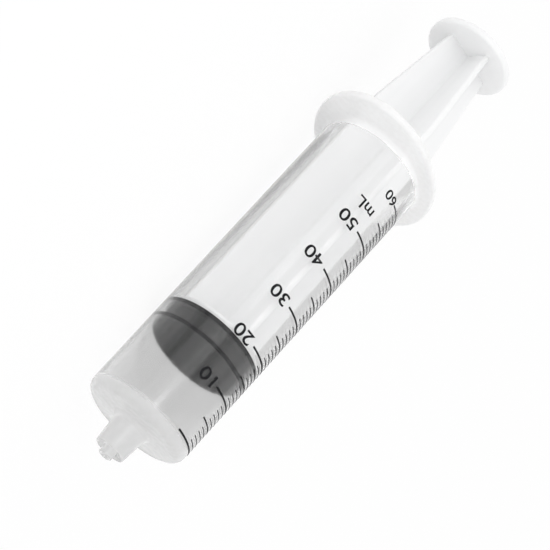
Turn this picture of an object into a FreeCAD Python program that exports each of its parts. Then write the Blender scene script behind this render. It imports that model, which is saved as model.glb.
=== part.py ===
"""Luer lock syringe, wide-bore, drawn back to 14.5 mL. Sizes in millimetres.

The syringe lies along X: the origin is the centre of the luer tip's mouth, +X runs back to
the thumb rest, and +Z is up through the flange's narrow way, as the syringe lies on a table.
"""

import math
import os

import FreeCAD, Part
from FreeCAD import Vector

# Roundings turn into flat bevels, which keeps the facets few: one when small, else several
large_rounding = 2.0
bevels_in_large = 3

# Barrel
bore_diameter = 29.4
barrel_front_diameter = 31.2
barrel_rear_diameter = 32.7
front_wall = 2.1
shoulder_rounding = 2.8
full_volume_ml = 60.0
scale_to_flange = 10.8
mouth_chamfer = 0.8
bead_height = 0.35
bead_width = 1.4
bead_inset = 2.0

# Luer tip and its locking collar
tip_diameter = 3.95
tip_taper = 0.06
tip_rounding = 0.3
tip_protrusion = 1.9
fluid_bore_diameter = 2.2
collar_length = 8.85
collar_depth = 7.9
collar_bore_diameter = 8.0
collar_end_diameter = 8.8
collar_base_diameter = 10.6
collar_mouth_chamfer = 0.2
collar_lip_bevel = 0.15
collar_root_rounding = 1.6

# Finger flange, an oval plate with its ears along Y
flange_length = 54.4
flange_width = 41.2
flange_thickness = 2.4
flange_edge_bevel = 0.6
flange_root_rounding = 1.6

# Stopper
drawn_volume_ml = 14.5
bore_clearance = 0.1
seat_gap = 0.1
nose_cone_height = 1.1
nose_flat_diameter = 2.0
nose_rim_diameter = 28.3
nose_rim_setback = 0.5
land_width = 0.9
land_spacing = 5.4
groove_depth = 1.15
land_flank = 0.5
rear_bevel = 0.4
face_thickness = 2.6
lip_thickness = 1.4

# Plunger rod
head_diameter = 17.0
head_chamfer = 1.2
neck_diameter = 12.0
head_clearance = 0.08
disc_diameter = 27.4
disc_thickness = 1.6
core_diameter = 3.6
rib_thickness = 1.9
rib_width = 27.0
rib_rear_width = 18.4
rib_taper_length = 32.4
rib_edge_rounding = 0.6
rib_turn = 45.0
rod_length = 116.6

# Thumb rest
thumb_diameter = 27.6
thumb_thickness = 2.5
thumb_edge_rounding = 0.8
dish_diameter = 22.6
dish_depth = 0.4
dish_bevel = 0.5

# Stations along the axis, worked out from the sizes above
bore_radius = bore_diameter / 2
collar_end_x = tip_protrusion
collar_floor_x = collar_end_x + collar_depth
shoulder_x = collar_end_x + collar_length
apex_x = shoulder_x + front_wall
scale_zero_x = apex_x + nose_cone_height + nose_rim_setback + seat_gap
ml_length = 1000 / (math.pi * bore_radius**2)
scale_full_x = scale_zero_x + full_volume_ml * ml_length
flange_front_x = scale_full_x + scale_to_flange
flange_rear_x = flange_front_x + flange_thickness

stopper_x = scale_zero_x + drawn_volume_ml * ml_length
rear_land_x = stopper_x + land_spacing
stopper_rear_x = rear_land_x + land_width + rear_bevel
pocket_front_x = stopper_x - nose_rim_setback + face_thickness
pocket_rear_x = stopper_rear_x - lip_thickness

disc_front_x = stopper_rear_x + head_clearance
disc_rear_x = disc_front_x + disc_thickness
thumb_front_x = disc_rear_x + rod_length
thumb_rear_x = thumb_front_x + thumb_thickness


def rounded_corner(here, back, ahead, rounding):
    """Points that take a corner off: they lie on the arc that touches both of its sides."""
    half_angle = back.getAngle(ahead) / 2
    setback = rounding / math.tan(half_angle)
    start = here + back * setback
    end = here + ahead * setback
    if rounding < large_rounding:
        return [start, end]
    centre = here + (back + ahead).normalize() * (rounding / math.sin(half_angle))
    turn = (start - centre).getAngle(end - centre)
    points = []
    for i in range(bevels_in_large + 1):
        angle = turn * i / bevels_in_large
        from_start = (start - centre) * (math.sin(turn - angle) / math.sin(turn))
        from_end = (end - centre) * (math.sin(angle) / math.sin(turn))
        points.append(centre + from_start + from_end)
    return points


def revolved(corners):
    """Solid of revolution about X from corners given as (x, radius, rounding)."""
    points = [Vector(x, 0, radius) for x, radius, _ in corners]
    outline = []
    for i, here in enumerate(points):
        rounding = corners[i][2]
        if rounding == 0:
            outline.append(here)
            continue
        back = (points[i - 1] - here).normalize()
        ahead = (points[(i + 1) % len(points)] - here).normalize()
        outline += rounded_corner(here, back, ahead, rounding)
    section = Part.Face(Part.makePolygon(outline + outline[:1]))
    return section.revolve(Vector(0, 0, 0), Vector(1, 0, 0), 360)


def cylinder(diameter, start_x, end_x):
    """Round bar along X between two stations."""
    return Part.makeCylinder(diameter / 2, end_x - start_x, Vector(start_x, 0, 0), Vector(1, 0, 0))


def make_flange():
    """Oval plate with bevelled rims, its long way along Y."""
    oval = Part.Ellipse(Vector(0, 0, 0), flange_length / 2, flange_width / 2).toShape()
    plate = Part.Face(Part.Wire(oval)).extrude(Vector(0, 0, flange_thickness))
    rims = [edge for edge in plate.Edges if abs(edge.BoundBox.ZLength) < 0.001]
    plate = plate.makeChamfer(flange_edge_bevel, rims)
    plate.rotate(Vector(0, 0, 0), Vector(1, 1, 1), 120)
    plate.translate(Vector(flange_front_x, 0, 0))
    return plate


def make_barrel():
    """One moulding: tapered tube, shoulder, luer tip, locking collar and finger flange."""
    tip_radius = tip_diameter / 2
    tip_base_radius = tip_radius + collar_floor_x * tip_taper / 2
    root_radius = flange_width / 2 - flange_edge_bevel
    outside = revolved(
        [
            (0, 0, 0),
            (0, tip_radius, tip_rounding),
            (collar_floor_x, tip_base_radius, 0),
            (collar_floor_x, collar_bore_diameter / 2, 0),
            (collar_end_x + collar_mouth_chamfer, collar_bore_diameter / 2, 0),
            (collar_end_x, collar_bore_diameter / 2 + collar_mouth_chamfer, 0),
            (collar_end_x, collar_end_diameter / 2, collar_lip_bevel),
            (shoulder_x, collar_base_diameter / 2, collar_root_rounding),
            (shoulder_x, barrel_front_diameter / 2, shoulder_rounding),
            (flange_front_x, barrel_rear_diameter / 2, flange_root_rounding),
            (flange_front_x, root_radius, 0),
            (flange_rear_x, root_radius, 0),
            (flange_rear_x, 0, 0),
        ]
    )
    bead_rear_x = flange_rear_x - bead_inset
    bead_front_x = bead_rear_x - bead_width
    bead_radius = bore_radius - bead_height
    cavity = revolved(
        [
            (apex_x, 0, 0),
            (apex_x + nose_cone_height, nose_rim_diameter / 2, 0),
            (scale_zero_x - seat_gap, bore_radius, 0),
            (bead_front_x, bore_radius, 0),
            (bead_front_x + bead_width / 2, bead_radius, 0),
            (bead_rear_x, bore_radius, 0),
            (flange_rear_x - mouth_chamfer, bore_radius, 0),
            (flange_rear_x, bore_radius + mouth_chamfer, 0),
            (flange_rear_x + 1, bore_radius + mouth_chamfer, 0),
            (flange_rear_x + 1, 0, 0),
        ]
    )
    fluid_bore = cylinder(fluid_bore_diameter, -1, apex_x + nose_cone_height)
    return outside.fuse(make_flange()).cut(cavity).cut(fluid_bore).removeSplitter()


def make_stopper():
    """Rubber stopper: coned nose, two contact lands and a socket that the rod snaps into."""
    land_radius = bore_radius - bore_clearance
    groove_radius = land_radius - groove_depth
    pocket_radius = head_diameter / 2 + head_clearance
    throat_radius = neck_diameter / 2 + head_clearance
    nose_rim_x = stopper_x - nose_rim_setback
    front_land_end_x = stopper_x + land_width
    rear_land_end_x = rear_land_x + land_width
    return revolved(
        [
            (nose_rim_x - nose_cone_height, 0, 0),
            (nose_rim_x - nose_cone_height, nose_flat_diameter / 2, 0),
            (nose_rim_x, nose_rim_diameter / 2, 0),
            (stopper_x, land_radius, 0),
            (front_land_end_x, land_radius, 0),
            (front_land_end_x + land_flank, groove_radius, 0),
            (rear_land_x - land_flank, groove_radius, 0),
            (rear_land_x, land_radius, 0),
            (rear_land_end_x, land_radius, 0),
            (stopper_rear_x, land_radius - rear_bevel, 0),
            (stopper_rear_x, throat_radius, 0),
            (pocket_rear_x, throat_radius, 0),
            (pocket_rear_x, pocket_radius, 0),
            (pocket_front_x, pocket_radius, 0),
            (pocket_front_x, 0, 0),
        ]
    )


def make_rib_plate():
    """One of the two crossed plates, even in the barrel and narrowing to the thumb rest."""
    front_x = disc_rear_x - disc_thickness / 2
    rear_x = thumb_front_x + thumb_thickness / 2
    taper_x = thumb_front_x - rib_taper_length
    half_widths = [(front_x, rib_width / 2), (taper_x, rib_width / 2), (rear_x, rib_rear_width / 2)]
    upper = [Vector(x, -rib_thickness / 2, half_width) for x, half_width in half_widths]
    lower = [Vector(x, -rib_thickness / 2, -half_width) for x, half_width in reversed(half_widths)]
    corners = upper + lower
    outline = Part.makePolygon(corners + corners[:1])
    plate = Part.Face(outline).extrude(Vector(0, rib_thickness, 0))
    long_edges = [edge for edge in plate.Edges if edge.BoundBox.XLength > rib_thickness]
    return plate.makeFillet(rib_edge_rounding, long_edges)


def make_plunger_rod():
    """One moulding: snap-in head, push disc, crossed ribs and thumb rest."""
    head_front_x = pocket_front_x + head_clearance
    head_rear_x = pocket_rear_x - head_clearance
    core_radius = core_diameter / 2
    thumb_radius = thumb_diameter / 2
    rod = revolved(
        [
            (head_front_x, 0, 0),
            (head_front_x, head_diameter / 2 - head_chamfer, 0),
            (head_front_x + head_chamfer, head_diameter / 2, 0),
            (head_rear_x, head_diameter / 2, 0),
            (head_rear_x, neck_diameter / 2, 0),
            (disc_front_x, neck_diameter / 2, 0),
            (disc_front_x, disc_diameter / 2, 0),
            (disc_rear_x, disc_diameter / 2, 0),
            (disc_rear_x, core_radius, 0),
            (thumb_front_x, core_radius, 0),
            (thumb_front_x, thumb_radius, thumb_edge_rounding),
            (thumb_rear_x, thumb_radius, thumb_edge_rounding),
            (thumb_rear_x, dish_diameter / 2, 0),
            (thumb_rear_x - dish_depth, dish_diameter / 2 - dish_bevel, 0),
            (thumb_rear_x - dish_depth, 0, 0),
        ]
    )
    for turn in (rib_turn, rib_turn + 90):
        plate = make_rib_plate()
        plate.rotate(Vector(0, 0, 0), Vector(1, 0, 0), turn)
        rod = rod.fuse(plate)
    return rod.removeSplitter()


os.makedirs("parts", exist_ok=True)
nodes = {
    "barrel": make_barrel(),
    "stopper": make_stopper(),
    "plunger_rod": make_plunger_rod(),
}
for name, shape in nodes.items():
    shape.exportStep("parts/" + name + ".step")
    box = shape.BoundBox
    print(name, shape.isValid(), len(shape.Solids), round(shape.Volume, 1))
    print("  X", round(box.XMin, 2), round(box.XMax, 2), "Z", round(box.ZMin, 2), round(box.ZMax, 2))
print("scale zero", round(scale_zero_x, 3), "full", round(scale_full_x, 3), "mL", round(ml_length, 4))
print("stopper", round(stopper_x, 3), "flange", round(flange_front_x, 3), round(flange_rear_x, 3))
print("thumb rear", round(thumb_rear_x, 3))
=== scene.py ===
"""Luer lock syringe lying on a white table: clear barrel, dark rubber stopper, milky rod, black scale."""

import math

import bmesh
import bpy
import numpy as np
from mathutils import Matrix, Vector


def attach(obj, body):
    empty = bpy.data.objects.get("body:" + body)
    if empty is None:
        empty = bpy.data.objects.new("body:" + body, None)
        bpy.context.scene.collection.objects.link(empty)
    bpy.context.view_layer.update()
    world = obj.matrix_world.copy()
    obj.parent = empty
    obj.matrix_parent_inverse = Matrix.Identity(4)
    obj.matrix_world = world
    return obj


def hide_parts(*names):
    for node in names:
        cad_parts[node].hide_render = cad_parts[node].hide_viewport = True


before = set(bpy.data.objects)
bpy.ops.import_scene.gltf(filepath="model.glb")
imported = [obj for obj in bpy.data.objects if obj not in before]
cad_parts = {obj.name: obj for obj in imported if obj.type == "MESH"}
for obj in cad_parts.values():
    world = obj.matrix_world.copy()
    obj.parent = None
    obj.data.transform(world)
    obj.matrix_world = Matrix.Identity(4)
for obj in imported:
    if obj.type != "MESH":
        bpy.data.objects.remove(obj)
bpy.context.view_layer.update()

# One millimetre in Blender's metres; every size below is in millimetres
MM = 0.001

# Barrel, as the CAD has it
bore_radius = 14.7
barrel_front_radius = 15.6
barrel_rear_radius = 16.35
tip_radius = 1.975
tip_taper = 0.03
fluid_bore_radius = 1.1
collar_end_x = 1.9
collar_floor_x = 9.8
collar_bore_radius = 4.0
collar_end_radius = 4.4
collar_base_radius = 5.3
collar_mouth_chamfer = 0.2
shoulder_x = 10.75
shoulder_rounding = 2.8
apex_x = 12.85
nose_rim_x = 13.95
nose_rim_radius = 14.15
bore_front_x = 14.45
flange_front_x = 113.733
flange_rear_x = 116.133
flange_half_width = 20.6
flange_half_length = 27.2
flange_root_radius = 18.1
flange_root_rounding = 1.6
flange_edge_rounding = 0.8
mouth_chamfer = 0.8
bead_height = 0.35
bead_front_x = 112.733
bead_rear_x = 114.133
luer_look_end_x = bore_front_x + 0.1
flange_look_start_x = flange_front_x - flange_root_rounding
flange_look_depth = 0.5

# Luer thread inside the collar
thread_lead = 5.0
thread_turns = 1.05
thread_height = 0.5
thread_half_width = 0.55
thread_crest_half_width = 0.2
thread_sink = 0.15
thread_run_out = 0.06

# Scale: 60 mL over the bore
scale_zero_x = 14.55
ml_length = 1000 / (math.pi * bore_radius**2)
full_volume_ml = 60

# Stopper, drawn back to the volume read in the photograph
drawn_volume_ml = 14.5
stopper_x = scale_zero_x + drawn_volume_ml * ml_length
nose_cone_height = 1.1
nose_rim_setback = 0.5
nose_flat_radius = 1.0
land_radius = 14.6
pressed_radius = 14.72
groove_radius = 13.45
land_width = 0.9
land_spacing = 5.4
land_flank = 0.5
land_spread = 0.12
rear_bevel = 0.4
stopper_rear_x = stopper_x + land_spacing + land_width + rear_bevel
throat_radius = 6.08
pocket_radius = 8.58
nose_wall = 2.1
throat_length = 1.4
pocket_front_x = stopper_x + nose_wall
pocket_rear_x = stopper_rear_x - throat_length

# Plunger rod
head_radius = 8.5
head_chamfer = 1.2
neck_radius = 6.0
head_clearance = 0.08
disc_radius = 13.7
disc_front_x = stopper_rear_x + head_clearance
disc_thickness = 1.6
disc_rear_x = disc_front_x + disc_thickness
core_radius = 1.8
rib_half_thickness = 0.95
rib_half_width = 13.5
rib_rear_half_width = 9.36
rib_edge_rounding = 0.6
rib_length = 116.6
taper_length = 32.4
thumb_thickness = 2.5
thumb_front_x = disc_rear_x + rib_length
thumb_rear_x = thumb_front_x + thumb_thickness
taper_x = thumb_front_x - taper_length
thumb_radius = 13.8
dish_radius = 11.3
dish_depth = 0.4

# Camera: where it stands, where it looks and how far it is turned, from the fitted scale
camera_place = Vector((-98.08, 360.83, 117.24)) * MM
camera_aim = Vector((68.43, -0.34, 1.07)) * MM
camera_roll = math.radians(124.97)
camera_lens = 100.5

# Looks: the wall's index is under polypropylene's own 1.49, which keeps the edge bands pale
wall_index = 1.33
haze_roughness = 0.5
coat_streak_scale = 500.0
coat_weight = 0.6
coat_roughness = 0.2
rod_grey = 0.86
rod_scattering = 0.5
scattering_depth = 4
rubber_grey = 0.012
near_black = (0.006, 0.006, 0.007, 1)
table_white_share = 0.9
# Painted shade: the table glows dimmer when seen through the plastic, standing in for the syringe's
# shadow on it
table_shade_glow_in_plastic = 0.6
table_half_size = 20000

# Points in each ring of a turned piece, and their angles from +Z towards +Y
around_steps = 192
ring_angles = np.linspace(0, 2 * np.pi, around_steps, endpoint=False)

# Clean-up of a mesh: edges that turn by more than this many degrees stay crisp
sharp_angle = 38
merge_distance = 0.002
sliver_length = 0.001


def rounded_profile(corners, steps=6):
    """Outline of (x, radius) points with its corners rounded.

    Each corner (x, radius, rounding) is swapped for a circular arc tangent to its two sides:
    the arc's centre lies on the corner's bisector, rounding / sin(half angle) away.
    """
    outline = []
    for i, (x, radius, rounding) in enumerate(corners):
        here = np.array((x, radius))
        if rounding == 0:
            outline.append(here)
            continue
        back = np.array(corners[i - 1][:2]) - here
        ahead = np.array(corners[(i + 1) % len(corners)][:2]) - here
        back = back / np.linalg.norm(back)
        ahead = ahead / np.linalg.norm(ahead)
        half_angle = math.acos(np.clip(back @ ahead, -1, 1)) / 2
        bisector = (back + ahead) / np.linalg.norm(back + ahead)
        centre = here + bisector * rounding / math.sin(half_angle)
        start = here + back * rounding / math.tan(half_angle) - centre
        end = here + ahead * rounding / math.tan(half_angle) - centre
        turn = math.atan2(start[0] * end[1] - start[1] * end[0], start @ end)
        for share in np.linspace(0, 1, steps):
            c, s = math.cos(turn * share), math.sin(turn * share)
            turned = (c * start[0] - s * start[1], s * start[0] + c * start[1])
            outline.append(centre + np.array(turned))
    return np.array(outline)


def signed_volume(points, faces):
    """Volume of a closed quad mesh, negative when its faces point inwards."""
    a, b, c, d = (points[faces[:, k]] for k in range(4))
    upper = np.einsum("ij,ij->i", a, np.cross(b, c))
    lower = np.einsum("ij,ij->i", a, np.cross(c, d))
    return (upper.sum() + lower.sum()) / 6


def grid_faces(rows, columns, wrap_rows=False):
    """Quads between the rows of a grid of points; each row is a closed loop."""
    i = np.arange(rows if wrap_rows else rows - 1)[:, None] * columns
    next_i = (i + columns) % (rows * columns)
    j = np.arange(columns)[None, :]
    next_j = (j + 1) % columns
    return np.stack((i + j, i + next_j, next_i + next_j, next_i + j), axis=-1).reshape(-1, 4)


def closed_ends(rows):
    """Rows of a bar's four corners, with a row at each end drawn together to its middle."""
    first = rows[:1].mean(axis=1, keepdims=True).repeat(4, axis=1)
    last = rows[-1:].mean(axis=1, keepdims=True).repeat(4, axis=1)
    return np.concatenate((first, rows, last))


def surface(name, grid, body, material, wrap_rows=False):
    """Closed mesh from a grid of points in millimetres; each row is a closed loop."""
    rows, columns, _ = grid.shape
    faces = grid_faces(rows, columns, wrap_rows)
    points = grid.reshape(-1, 3) * MM
    if signed_volume(points, faces) < 0:
        faces = faces[:, ::-1]
    mesh = bpy.data.meshes.new(name)
    mesh.from_pydata(points.tolist(), [], faces.tolist())
    return finish_piece(name, mesh, body, material)


def finish_piece(name, mesh, body, material):
    """Object for a mesh: doubles merged, smooth apart from sharp edges, riding on its body."""
    work = bmesh.new()
    work.from_mesh(mesh)
    bmesh.ops.remove_doubles(work, verts=work.verts, dist=merge_distance * MM)
    bmesh.ops.dissolve_degenerate(work, edges=work.edges, dist=sliver_length * MM)
    work.to_mesh(mesh)
    work.free()
    mesh.shade_smooth()
    mesh.set_sharp_from_angle(angle=math.radians(sharp_angle))
    piece = bpy.data.objects.new(name, mesh)
    bpy.context.scene.collection.objects.link(piece)
    mesh.materials.append(material)
    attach(piece, body)
    return piece


def revolved(profile):
    """Grid of profile x angle: (x, radius) becomes (x, radius sin a, radius cos a)."""
    x = np.broadcast_to(profile[:, :1], (len(profile), around_steps))
    radius = profile[:, 1:]
    return np.stack((x, radius * np.sin(ring_angles), radius * np.cos(ring_angles)), axis=-1)


def on_barrel(x, angle, lift):
    """Point on the barrel's tapered outside: angle from +Z towards +Y, lift above the wall."""
    share = (x - shoulder_x) / (flange_front_x - shoulder_x)
    radius = barrel_front_radius + share * (barrel_rear_radius - barrel_front_radius) + lift
    return np.stack(np.broadcast_arrays(x, radius * np.sin(angle), radius * np.cos(angle)), axis=-1)


def new_material(name):
    """Empty node material, as (material, nodes, links)."""
    material = bpy.data.materials.new(name)
    material.use_nodes = True
    nodes = material.node_tree.nodes
    nodes.clear()
    return material, nodes, material.node_tree.links


def moulding_flow_group():
    """Node group: streaks drawn out along X by the plastic's flow, and a fine skin grain.

    Tone is 1 less streak depth x stretched noise; Height feeds a bump.
    """
    group = bpy.data.node_groups.new("moulding_flow", "ShaderNodeTree")
    for name, value in (("Streak Scale", 260.0), ("Streak Depth", 0.06), ("Grain Scale", 900.0)):
        socket = group.interface.new_socket(name, in_out="INPUT", socket_type="NodeSocketFloat")
        socket.default_value = value
    group.interface.new_socket("Tone", in_out="OUTPUT", socket_type="NodeSocketFloat")
    group.interface.new_socket("Height", in_out="OUTPUT", socket_type="NodeSocketFloat")
    nodes, links = group.nodes, group.links
    given = nodes.new("NodeGroupInput")
    result = nodes.new("NodeGroupOutput")
    place = nodes.new("ShaderNodeTexCoord")
    stretch = nodes.new("ShaderNodeMapping")
    stretch.inputs["Scale"].default_value = (0.02, 1.0, 1.0)
    links.new(place.outputs["Object"], stretch.inputs["Vector"])
    streaks = nodes.new("ShaderNodeTexNoise")
    streaks.inputs["Detail"].default_value = 3.0
    links.new(stretch.outputs["Vector"], streaks.inputs["Vector"])
    links.new(given.outputs["Streak Scale"], streaks.inputs["Scale"])
    depth = nodes.new("ShaderNodeMath")
    depth.operation = "MULTIPLY"
    links.new(streaks.outputs["Fac"], depth.inputs[0])
    links.new(given.outputs["Streak Depth"], depth.inputs[1])
    tone = nodes.new("ShaderNodeMath")
    tone.operation = "SUBTRACT"
    tone.inputs[0].default_value = 1.0
    links.new(depth.outputs[0], tone.inputs[1])
    links.new(tone.outputs[0], result.inputs["Tone"])
    grain = nodes.new("ShaderNodeTexNoise")
    grain.inputs["Detail"].default_value = 2.0
    links.new(place.outputs["Object"], grain.inputs["Vector"])
    links.new(given.outputs["Grain Scale"], grain.inputs["Scale"])
    links.new(grain.outputs["Fac"], result.inputs["Height"])
    return group


moulding_flow = moulding_flow_group()


def flow_node(nodes, streak_depth, streak_scale):
    """Moulding flow group with its streaks' depth and scale."""
    flow = nodes.new("ShaderNodeGroup")
    flow.node_tree = moulding_flow
    flow.inputs["Streak Depth"].default_value = streak_depth
    flow.inputs["Streak Scale"].default_value = streak_scale
    return flow


def toned_colour(nodes, links, colour, streak_depth, streak_scale):
    """Moulding flow node and a colour multiplied by its tone."""
    flow = flow_node(nodes, streak_depth, streak_scale)
    mix = nodes.new("ShaderNodeMix")
    mix.data_type = "RGBA"
    mix.blend_type = "MULTIPLY"
    mix.inputs["Factor"].default_value = 1.0
    mix.inputs["A"].default_value = (*colour, 1)
    links.new(flow.outputs["Tone"], mix.inputs["B"])
    return flow, mix.outputs["Result"]


def skin_bump(nodes, links, flow, strength, distance):
    """Bump from the flow group's height, as a normal."""
    bump = nodes.new("ShaderNodeBump")
    bump.inputs["Strength"].default_value = strength
    bump.inputs["Distance"].default_value = distance * MM
    links.new(flow.outputs["Height"], bump.inputs["Height"])
    return bump.outputs["Normal"]


def let_light_through(nodes, links, shader):
    """Shader for the output: shadow and diffuse rays pass the wall unchanged, others meet it."""
    path = nodes.new("ShaderNodeLightPath")
    passing = nodes.new("ShaderNodeMath")
    passing.operation = "MAXIMUM"
    links.new(path.outputs["Is Shadow Ray"], passing.inputs[0])
    links.new(path.outputs["Is Diffuse Ray"], passing.inputs[1])
    clear = nodes.new("ShaderNodeBsdfTransparent")
    clear.inputs["Color"].default_value = (1, 1, 1, 1)
    shade = nodes.new("ShaderNodeMixShader")
    links.new(passing.outputs[0], shade.inputs["Fac"])
    links.new(shader, shade.inputs[1])
    links.new(clear.outputs[0], shade.inputs[2])
    return shade.outputs[0]


def polypropylene(name, grey, transmission, roughness, haze):
    """Barrel plastic: a clear wall with a faint white haze, and a clear coat in streaks.

    The haze is a sheen of constant weight. The coat's weight is the coat weight x the share
    that the streaks' tone has come from 0.4 to 0.6.
    """
    material, nodes, links = new_material(name)
    out = nodes.new("ShaderNodeOutputMaterial")
    shell = nodes.new("ShaderNodeBsdfPrincipled")
    flow, toned = toned_colour(nodes, links, (grey, grey, grey), 0.05, 260.0)
    links.new(toned, shell.inputs["Base Color"])
    links.new(skin_bump(nodes, links, flow, 0.1, 0.1), shell.inputs["Normal"])
    shell.inputs["Transmission Weight"].default_value = transmission
    shell.inputs["Roughness"].default_value = roughness
    shell.inputs["IOR"].default_value = wall_index
    shell.inputs["Sheen Weight"].default_value = haze
    shell.inputs["Sheen Roughness"].default_value = haze_roughness
    shell.inputs["Coat Roughness"].default_value = coat_roughness
    streaks = flow_node(nodes, 1.0, coat_streak_scale)
    streaky = nodes.new("ShaderNodeMapRange")
    streaky.inputs["From Min"].default_value = 0.4
    streaky.inputs["From Max"].default_value = 0.6
    streaky.inputs["To Max"].default_value = coat_weight
    links.new(streaks.outputs["Tone"], streaky.inputs["Value"])
    links.new(streaky.outputs["Result"], shell.inputs["Coat Weight"])
    links.new(let_light_through(nodes, links, shell.outputs[0]), out.inputs["Surface"])
    return material


def milky_polypropylene():
    """Rod: thick plastic of the same kind, which scatters light and looks white."""
    material, nodes, links = new_material("milky_polypropylene")
    out = nodes.new("ShaderNodeOutputMaterial")
    plastic = nodes.new("ShaderNodeBsdfPrincipled")
    rod_colour = (rod_grey, rod_grey + 0.003, rod_grey + 0.006)
    flow, colour = toned_colour(nodes, links, rod_colour, 0.05, 300.0)
    links.new(colour, plastic.inputs["Base Color"])
    links.new(skin_bump(nodes, links, flow, 0.15, 0.1), plastic.inputs["Normal"])
    plastic.inputs["Roughness"].default_value = 0.35
    plastic.inputs["Subsurface Weight"].default_value = rod_scattering
    plastic.inputs["Subsurface Radius"].default_value = (1, 1, 1)
    plastic.inputs["Subsurface Scale"].default_value = scattering_depth * MM
    links.new(plastic.outputs[0], out.inputs["Surface"])
    return material


def grey_rubber():
    """Stopper: matt dark rubber with a fine speckle, and painted shade where it presses on the bore.

    The lands that press on the bore are painted near black, standing in for their dark look.
    The contact shade mask goes from 0 to 1 as the distance from the X axis, in Object coordinates,
    comes from 0.2 to 0.1 mm under pressed_radius.
    """
    material, nodes, links = new_material("grey_rubber")
    out = nodes.new("ShaderNodeOutputMaterial")
    rubber_skin = nodes.new("ShaderNodeBsdfPrincipled")
    place = nodes.new("ShaderNodeTexCoord")
    flat = nodes.new("ShaderNodeVectorMath")
    flat.operation = "MULTIPLY"
    flat.inputs[1].default_value = (0, 1, 1)
    links.new(place.outputs["Object"], flat.inputs[0])
    radius = nodes.new("ShaderNodeVectorMath")
    radius.operation = "LENGTH"
    links.new(flat.outputs[0], radius.inputs[0])
    # Painted shade: the lands that press on the bore are made near black
    contact_shade = nodes.new("ShaderNodeMapRange")
    contact_shade.inputs["From Min"].default_value = (pressed_radius - 0.2) * MM
    contact_shade.inputs["From Max"].default_value = (pressed_radius - 0.1) * MM
    links.new(radius.outputs["Value"], contact_shade.inputs["Value"])
    speckle = nodes.new("ShaderNodeTexNoise")
    speckle.inputs["Scale"].default_value = 420.0
    speckle.inputs["Detail"].default_value = 4.0
    links.new(place.outputs["Object"], speckle.inputs["Vector"])
    bare = nodes.new("ShaderNodeMix")
    bare.data_type = "RGBA"
    bare.inputs["A"].default_value = (rubber_grey, rubber_grey, rubber_grey * 1.05, 1)
    bare.inputs["B"].default_value = (rubber_grey * 1.8, rubber_grey * 1.8, rubber_grey * 1.85, 1)
    links.new(speckle.outputs["Fac"], bare.inputs["Factor"])
    colour = nodes.new("ShaderNodeMix")
    colour.data_type = "RGBA"
    colour.inputs["B"].default_value = near_black
    links.new(contact_shade.outputs["Result"], colour.inputs["Factor"])
    links.new(bare.outputs["Result"], colour.inputs["A"])
    links.new(colour.outputs["Result"], rubber_skin.inputs["Base Color"])
    rubber_skin.inputs["Roughness"].default_value = 0.4
    rubber_skin.inputs["Specular IOR Level"].default_value = 0.0
    links.new(rubber_skin.outputs[0], out.inputs["Surface"])
    return material


def scale_ink():
    """Printed scale: black ink, a little uneven."""
    material, nodes, links = new_material("scale_ink")
    out = nodes.new("ShaderNodeOutputMaterial")
    ink_film = nodes.new("ShaderNodeBsdfPrincipled")
    place = nodes.new("ShaderNodeTexCoord")
    wear = nodes.new("ShaderNodeTexNoise")
    wear.inputs["Scale"].default_value = 1500.0
    links.new(place.outputs["Object"], wear.inputs["Vector"])
    colour = nodes.new("ShaderNodeMix")
    colour.data_type = "RGBA"
    colour.inputs["A"].default_value = near_black
    colour.inputs["B"].default_value = (0.02, 0.02, 0.022, 1)
    links.new(wear.outputs["Fac"], colour.inputs["Factor"])
    links.new(colour.outputs["Result"], ink_film.inputs["Base Color"])
    ink_film.inputs["Roughness"].default_value = 0.5
    ink_film.inputs["Specular IOR Level"].default_value = 0.1
    links.new(ink_film.outputs[0], out.inputs["Surface"])
    return material


# Grey, transmission, roughness and haze
clear_plastic = polypropylene("clear_polypropylene", 0.995, 1.0, 0.12, 0.5)
luer_plastic = polypropylene("luer_polypropylene", 0.83, 0.7, 0.25, 0.3)
flange_plastic = polypropylene("flange_polypropylene", 0.975, 0.45, 0.3, 0.5)
rubber = grey_rubber()
milky_plastic = milky_polypropylene()
ink = scale_ink()


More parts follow.
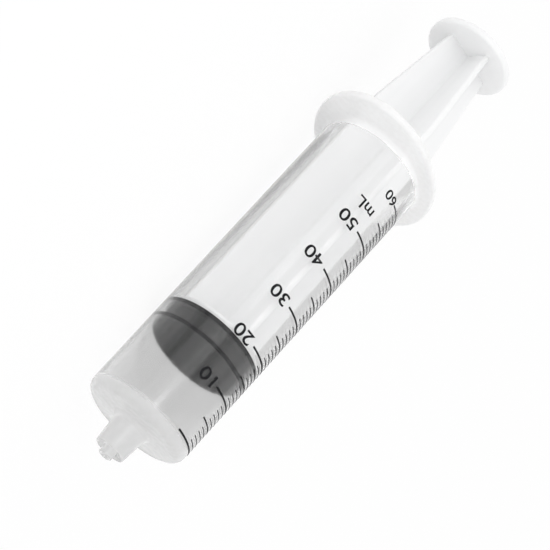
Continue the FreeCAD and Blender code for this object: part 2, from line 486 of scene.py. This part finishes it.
def make_barrel():
    """Barrel as one closed surface: the section's outline turned about X.

    Outside the flange's root circle each radius grows by a share of (oval radius - half width),
    so the rim follows the oval, where 1 / oval radius^2 = (sin a / length)^2 + (cos a / width)^2.
    The luer end, ahead of the bore, and the flange each have a milkier look than the tube.
    """
    corners = [
        (0, fluid_bore_radius, 0.15),
        (0, tip_radius, 0.3),
        (collar_floor_x, tip_radius + collar_floor_x * tip_taper, 0.3),
        (collar_floor_x, collar_bore_radius, 0.3),
        (collar_end_x + collar_mouth_chamfer, collar_bore_radius, 0.05),
        (collar_end_x, collar_bore_radius + collar_mouth_chamfer, 0.05),
        (collar_end_x, collar_end_radius, 0.1),
        (shoulder_x, collar_base_radius, 1.6),
        (shoulder_x, barrel_front_radius, shoulder_rounding),
        (flange_front_x, barrel_rear_radius, flange_root_rounding),
        (flange_front_x, flange_half_width, flange_edge_rounding),
        (flange_rear_x, flange_half_width, flange_edge_rounding),
        (flange_rear_x, bore_radius + mouth_chamfer, 0.2),
        (flange_rear_x - mouth_chamfer, bore_radius, 0.2),
        (bead_rear_x, bore_radius, 0.3),
        ((bead_front_x + bead_rear_x) / 2, bore_radius - bead_height, 0.4),
        (bead_front_x, bore_radius, 0.3),
        (bore_front_x, bore_radius, 0.2),
        (nose_rim_x, nose_rim_radius, 0.2),
        (apex_x, fluid_bore_radius, 0.3),
    ]
    profile = rounded_profile(corners)
    grid = revolved(profile)
    across, up = np.sin(ring_angles), np.cos(ring_angles)
    oval = 1 / np.hypot(across / flange_half_length, up / flange_half_width)
    full_share_radius = flange_half_width - flange_edge_rounding
    share = (profile[:, 1] - flange_root_radius) / (full_share_radius - flange_root_radius)
    share = np.clip(share, 0, 1)
    radius = profile[:, 1][:, None] + share[:, None] * (oval - flange_half_width)[None, :]
    grid[..., 1] = radius * across
    grid[..., 2] = radius * up
    piece = surface("barrel_moulding", grid, "barrel", clear_plastic, wrap_rows=True)
    piece.data.materials.append(luer_plastic)
    piece.data.materials.append(flange_plastic)
    for face in piece.data.polygons:
        x, y, z = face.center / MM
        reach = math.hypot(y, z)
        if x < luer_look_end_x:
            face.material_index = 1
        elif x > flange_look_start_x and reach > bore_radius + flange_look_depth:
            face.material_index = 2
    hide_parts("barrel")


def make_stopper():
    """Stopper as one closed surface of revolution, its lands spread where the bore presses."""
    nose_x = stopper_x - nose_rim_setback
    rear_land_x = stopper_x + land_spacing
    front_land_end_x = stopper_x + land_width
    corners = [
        (nose_x - nose_cone_height, 0, 0),
        (nose_x - nose_cone_height, nose_flat_radius, 0.3),
        (nose_x, nose_rim_radius, 0.3),
        (stopper_x - land_spread, pressed_radius, 0.1),
        (front_land_end_x + land_spread, pressed_radius, 0.1),
        (front_land_end_x + land_flank, groove_radius, 0.4),
        (rear_land_x - land_flank, groove_radius, 0.4),
        (rear_land_x - land_spread, pressed_radius, 0.1),
        (rear_land_x + land_width + land_spread, pressed_radius, 0.1),
        (stopper_rear_x, land_radius - rear_bevel, 0.2),
        (stopper_rear_x, throat_radius, 0.1),
        (pocket_rear_x, throat_radius, 0.1),
        (pocket_rear_x, pocket_radius, 0.1),
        (pocket_front_x, pocket_radius, 0.4),
        (pocket_front_x, 0, 0),
    ]
    grid = revolved(rounded_profile(corners))
    piece = surface("stopper_rubber", grid, "stopper", rubber)
    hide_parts("stopper")


def rib_section(half_width):
    """Section of the crossed ribs as (across, up) points, one quarter turned four times.

    Along a rib's face the distance from the axis is half the thickness / sin a, blended with
    the core's radius as the 8th root of the sum of 8th powers; the rib's edge is two rounded
    corners.
    """
    start = math.atan2(rib_half_thickness, half_width - rib_edge_rounding)
    angle = np.linspace(math.pi / 4, start, 16)[:-1]
    reach = ((rib_half_thickness / np.sin(angle)) ** 8 + core_radius**8) ** 0.125
    reach = np.minimum(reach, (half_width - rib_edge_rounding) / np.cos(angle))
    face = np.stack((reach * np.cos(angle), reach * np.sin(angle)), axis=-1)
    turn = np.linspace(math.pi / 2, 0, 5)
    centre = (half_width - rib_edge_rounding, rib_half_thickness - rib_edge_rounding)
    corner = np.array(centre) + rib_edge_rounding * np.stack((np.cos(turn), np.sin(turn)), axis=-1)
    upper = np.concatenate((face, corner))
    lower = upper[::-1] * (1, -1)
    quarter = np.concatenate((upper, lower[:-1]))
    quarters = []
    for k in range(4):
        c, s = math.cos(-k * math.pi / 2), math.sin(-k * math.pi / 2)
        quarters.append(quarter @ np.array(((c, s), (-s, c))))
    return np.concatenate(quarters)


def make_plunger_rod():
    """Rod as one closed surface: a section carried along X, a circle at discs and ends.

    A round station puts every point of the rib section at one distance from the axis, along
    its own direction, so the discs and ribs share their rows of points.
    """
    section = rib_section(rib_half_width)
    direction = section / np.linalg.norm(section, axis=1, keepdims=True)
    rear_section = rib_section(rib_rear_half_width)
    head_front_x = pocket_front_x + head_clearance
    head_rear_x = pocket_rear_x - head_clearance
    rims = [
        (head_front_x, 0, 0),
        (head_front_x, head_radius - head_chamfer, 0.1),
        (head_front_x + head_chamfer, head_radius, 0.1),
        (head_rear_x, head_radius, 0.1),
        (head_rear_x, neck_radius, 0.1),
        (disc_front_x, neck_radius, 0.05),
        (disc_front_x, disc_radius, 0.25),
        (disc_rear_x, disc_radius, 0.25),
    ]
    thumb = [
        (thumb_front_x, thumb_radius, 0.8),
        (thumb_rear_x, thumb_radius, 0.8),
        (thumb_rear_x, dish_radius, 0.3),
        (thumb_rear_x - dish_depth, dish_radius - 0.5, 0.3),
        (thumb_rear_x - dish_depth, 0, 0),
    ]
    turn = math.radians(45)
    spin = np.array(((math.cos(turn), math.sin(turn)), (-math.sin(turn), math.cos(turn))))
    rows = []

    def round_rows(corners, first, last):
        """Rings of a round stretch; the points before and after it only shape its roundings."""
        for x, radius in rounded_profile([first] + corners + [last])[1:-1]:
            rows.append(np.insert((direction * radius) @ spin, 0, x, axis=1))

    def ribbed_row(x, section_here):
        """Ring of the crossed ribs at one station."""
        rows.append(np.insert(section_here @ spin, 0, x, axis=1))

    round_rows(rims, (head_front_x - 1, 0, 0), (disc_rear_x, 3, 0))
    ribbed_row(disc_rear_x, section)
    for x in np.linspace(disc_rear_x, taper_x, 14)[1:]:
        ribbed_row(x, section)
    for share in np.linspace(0, 1, 9)[1:]:
        x = taper_x + share * (thumb_front_x - taper_x)
        ribbed_row(x, section + share * (rear_section - section))
    round_rows(thumb, (thumb_front_x, 3, 0), (thumb_rear_x + 1, 0, 0))
    grid = np.array(rows)
    piece = surface("plunger_rod_moulding", grid, "plunger_rod", milky_plastic)
    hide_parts("plunger_rod")


def thread_ridge(start_angle):
    """One start of the luer thread: a flat-topped ridge carried along a helix, ends run out.

    The helix turns right-handed and its foot is sunk a little into the collar's wall. Height is
    the thread's height x (distance from the nearer end / run-out), the bracket held between 0.05
    and 1, both lengths as shares of the ridge's own.
    """
    u = np.linspace(0, 1, 61)
    angle = start_angle - 2 * np.pi * thread_turns * u
    x = collar_end_x + thread_half_width + thread_lead * thread_turns * u
    height = thread_height * np.clip(np.minimum(u, 1 - u) / thread_run_out, 0.05, 1)
    foot_radius = collar_bore_radius + thread_sink
    sides = []
    for dx, crest in (
        (-thread_half_width, 0),
        (-thread_crest_half_width, 1),
        (thread_crest_half_width, 1),
        (thread_half_width, 0),
    ):
        radius = foot_radius - crest * (height + thread_sink)
        sides.append(np.stack((x + dx, radius * np.sin(angle), radius * np.cos(angle)), axis=-1))
    return closed_ends(np.stack(sides, axis=1))


def make_thread():
    """Both starts of the thread inside the locking collar, half a turn apart."""
    for k, name in enumerate(("luer_thread_a", "luer_thread_b")):
        grid = thread_ridge(math.pi * k)
        surface(name, grid, "barrel", clear_plastic)


# Printed scale: angles from +Z towards +Y
mark_end_angle = math.radians(-16)
long_mark_angle = math.radians(36)
medium_mark_angle = math.radians(23)
short_mark_angle = math.radians(13.5)
long_mark_width = 0.58
medium_mark_width = 0.46
short_mark_width = 0.32
figure_boldness = 0.06
capital_share = 0.73
ink_thickness = 0.03
ink_lift = 0.02


def scale_mark(volume):
    """Arc of ink: a thin rectangular bar bent round the barrel at one volume's station."""
    if volume % 10 == 0 and volume < full_volume_ml:
        start, width = long_mark_angle, long_mark_width
    elif volume % 5 == 0:
        start, width = medium_mark_angle, medium_mark_width
    else:
        start, width = short_mark_angle, short_mark_width
    angle = np.linspace(mark_end_angle, start, 25)
    x = scale_zero_x + volume * ml_length
    sides = []
    for dx, lift in ((-1, 0), (1, 0), (1, 1), (-1, 1)):
        station = np.full_like(angle, x + dx * width / 2)
        sides.append(on_barrel(station, angle, ink_lift + lift * ink_thickness))
    return closed_ends(np.stack(sides, axis=1))


def make_scale_marks():
    """All the marks as one piece, a mark at each millilitre."""
    bars = [scale_mark(volume) for volume in range(full_volume_ml + 1)]
    rows, columns, _ = bars[0].shape
    faces = grid_faces(rows, columns)
    points = np.concatenate([bar.reshape(-1, 3) for bar in bars]) * MM
    if signed_volume(points, faces) < 0:
        faces = faces[:, ::-1]
    all_faces = np.concatenate([faces + k * rows * columns for k in range(len(bars))])
    mesh = bpy.data.meshes.new("scale_marks")
    mesh.from_pydata(points.tolist(), [], all_faces.tolist())
    finish_piece("scale_marks", mesh, "barrel", ink)


def make_label(name, text, volume, start_angle, height, stretch):
    """Figures bent round the barrel: text x, stretched, goes round it, text y towards the tip.

    A bevel makes the strokes bolder, and its depth is then cut back to the ink's thickness.
    """
    curve = bpy.data.curves.new(name, "FONT")
    curve.body = text
    curve.size = height / capital_share
    curve.align_y = "CENTER"
    curve.extrude = ink_thickness / 2
    curve.bevel_depth = figure_boldness
    curve.bevel_resolution = 0
    curve.resolution_u = 6
    holder = bpy.data.objects.new(name, curve)
    bpy.context.scene.collection.objects.link(holder)
    bpy.context.view_layer.update()
    mesh = bpy.data.meshes.new_from_object(holder)
    bpy.data.objects.remove(holder)
    flat = np.empty(len(mesh.vertices) * 3)
    mesh.vertices.foreach_get("co", flat)
    flat = flat.reshape(-1, 3)
    flat[:, 2] = np.clip(flat[:, 2], -ink_thickness / 2, ink_thickness / 2)
    middle = (flat[:, 1].min() + flat[:, 1].max()) / 2
    x = scale_zero_x + volume * ml_length - (flat[:, 1] - middle)
    angle = start_angle + stretch * (flat[:, 0] - flat[:, 0].min()) / barrel_front_radius
    bent = on_barrel(x, angle, ink_lift + ink_thickness / 2 + flat[:, 2])
    mesh.vertices.foreach_set("co", (bent * MM).ravel())
    finish_piece(name, mesh, "barrel", ink)


def make_stage():
    """White table under the two places where the syringe rests, its flange and its shoulder.

    Its glow's share is the larger of two: the white share for camera rays and mirrored ones,
    and 1 for rays that come through the plastic, for which the glow is dimmer: painted shade for
    the syringe's shadow on the table, seen through the barrel. The rest of the share is plain
    white paint.
    """
    rest_length = flange_front_x - shoulder_x - shoulder_rounding
    rest_slope = math.atan2(flange_half_width - barrel_front_radius, rest_length)
    mesh = bpy.data.meshes.new("table")
    signs = ((-1, -1), (1, -1), (1, 1), (-1, 1))
    reach = table_half_size * MM
    corners = [(x * reach, y * reach, 0) for x, y in signs]
    mesh.from_pydata(corners, [], [(0, 1, 2, 3)])
    table = bpy.data.objects.new("table", mesh)
    bpy.context.scene.collection.objects.link(table)
    flange_foot = Matrix.Translation((flange_front_x * MM, 0, -flange_half_width * MM))
    table.matrix_world = flange_foot @ Matrix.Rotation(rest_slope, 4, "Y")
    material, nodes, links = new_material("white_table")
    out = nodes.new("ShaderNodeOutputMaterial")
    paint = nodes.new("ShaderNodeBsdfDiffuse")
    paint.inputs["Color"].default_value = (0.92, 0.92, 0.92, 1)
    glow = nodes.new("ShaderNodeEmission")
    # Painted shade: dimmer glow for rays that come through the plastic
    glow_strength = nodes.new("ShaderNodeMapRange")
    glow_strength.inputs["To Min"].default_value = 1.0
    glow_strength.inputs["To Max"].default_value = table_shade_glow_in_plastic
    links.new(glow_strength.outputs["Result"], glow.inputs["Strength"])
    path = nodes.new("ShaderNodeLightPath")
    links.new(path.outputs["Is Transmission Ray"], glow_strength.inputs["Value"])
    mirrored = nodes.new("ShaderNodeMath")
    mirrored.operation = "SUBTRACT"
    links.new(path.outputs["Is Glossy Ray"], mirrored.inputs[0])
    links.new(path.outputs["Is Transmission Ray"], mirrored.inputs[1])
    direct = nodes.new("ShaderNodeMath")
    direct.operation = "MAXIMUM"
    links.new(path.outputs["Is Camera Ray"], direct.inputs[0])
    links.new(mirrored.outputs[0], direct.inputs[1])
    straight = nodes.new("ShaderNodeMath")
    straight.operation = "MULTIPLY"
    straight.inputs[1].default_value = table_white_share
    links.new(direct.outputs[0], straight.inputs[0])
    white_share = nodes.new("ShaderNodeMath")
    white_share.operation = "MAXIMUM"
    links.new(straight.outputs[0], white_share.inputs[0])
    links.new(path.outputs["Is Transmission Ray"], white_share.inputs[1])
    choice = nodes.new("ShaderNodeMixShader")
    links.new(white_share.outputs[0], choice.inputs["Fac"])
    links.new(paint.outputs[0], choice.inputs[1])
    links.new(glow.outputs[0], choice.inputs[2])
    links.new(choice.outputs[0], out.inputs["Surface"])
    mesh.materials.append(material)


def make_world():
    """Even white room all round, which gives most of the light."""
    world = bpy.data.worlds.new("white_room")
    world.use_nodes = True
    bpy.context.scene.world = world
    nodes, links = world.node_tree.nodes, world.node_tree.links
    nodes.clear()
    out = nodes.new("ShaderNodeOutputWorld")
    back = nodes.new("ShaderNodeBackground")
    back.inputs["Color"].default_value = (1, 1, 1, 1)
    links.new(back.outputs[0], out.inputs["Surface"])


def make_lamp(name, place, aim, size, power):
    """Square soft lamp at a place, facing a point."""
    lamp = bpy.data.lights.new(name, "AREA")
    lamp.size = size * MM
    lamp.energy = power
    holder = bpy.data.objects.new(name, lamp)
    bpy.context.scene.collection.objects.link(holder)
    holder.location = Vector(place) * MM
    direction = (Vector(aim) - Vector(place)).normalized()
    holder.rotation_euler = direction.to_track_quat("-Z", "Y").to_euler()


def make_camera():
    """Camera with the photograph's view."""
    data = bpy.data.cameras.new("photo_camera")
    data.lens = camera_lens
    data.sensor_width = 36
    camera = bpy.data.objects.new("photo_camera", data)
    bpy.context.scene.collection.objects.link(camera)
    facing = (camera_aim - camera_place).to_track_quat("-Z", "Y").to_matrix().to_4x4()
    roll = Matrix.Rotation(camera_roll, 4, "Z")
    camera.matrix_world = Matrix.Translation(camera_place) @ facing @ roll
    bpy.context.scene.camera = camera


make_barrel()
make_stopper()
make_plunger_rod()
make_thread()
make_scale_marks()
for tens in range(10, full_volume_ml, 10):
    make_label("figure_%d" % tens, str(tens), tens, math.radians(41.2), 3.7, 1.25)
make_label("figure_60", "60", full_volume_ml, math.radians(23.8), 3.0, 1.2)
make_label("figure_unit", "mL", 54.3, math.radians(36.6), 3.4, 1.08)
make_stage()
make_world()
make_lamp("front_lamp", (42, 442, 197), (6, 0, 0), 60, 0.2)
make_lamp("soft_lamp", (245, 415, 225), (50, 0, 0), 160, 0.1)
make_camera()
bpy.context.scene.view_settings.view_transform = "Standard"
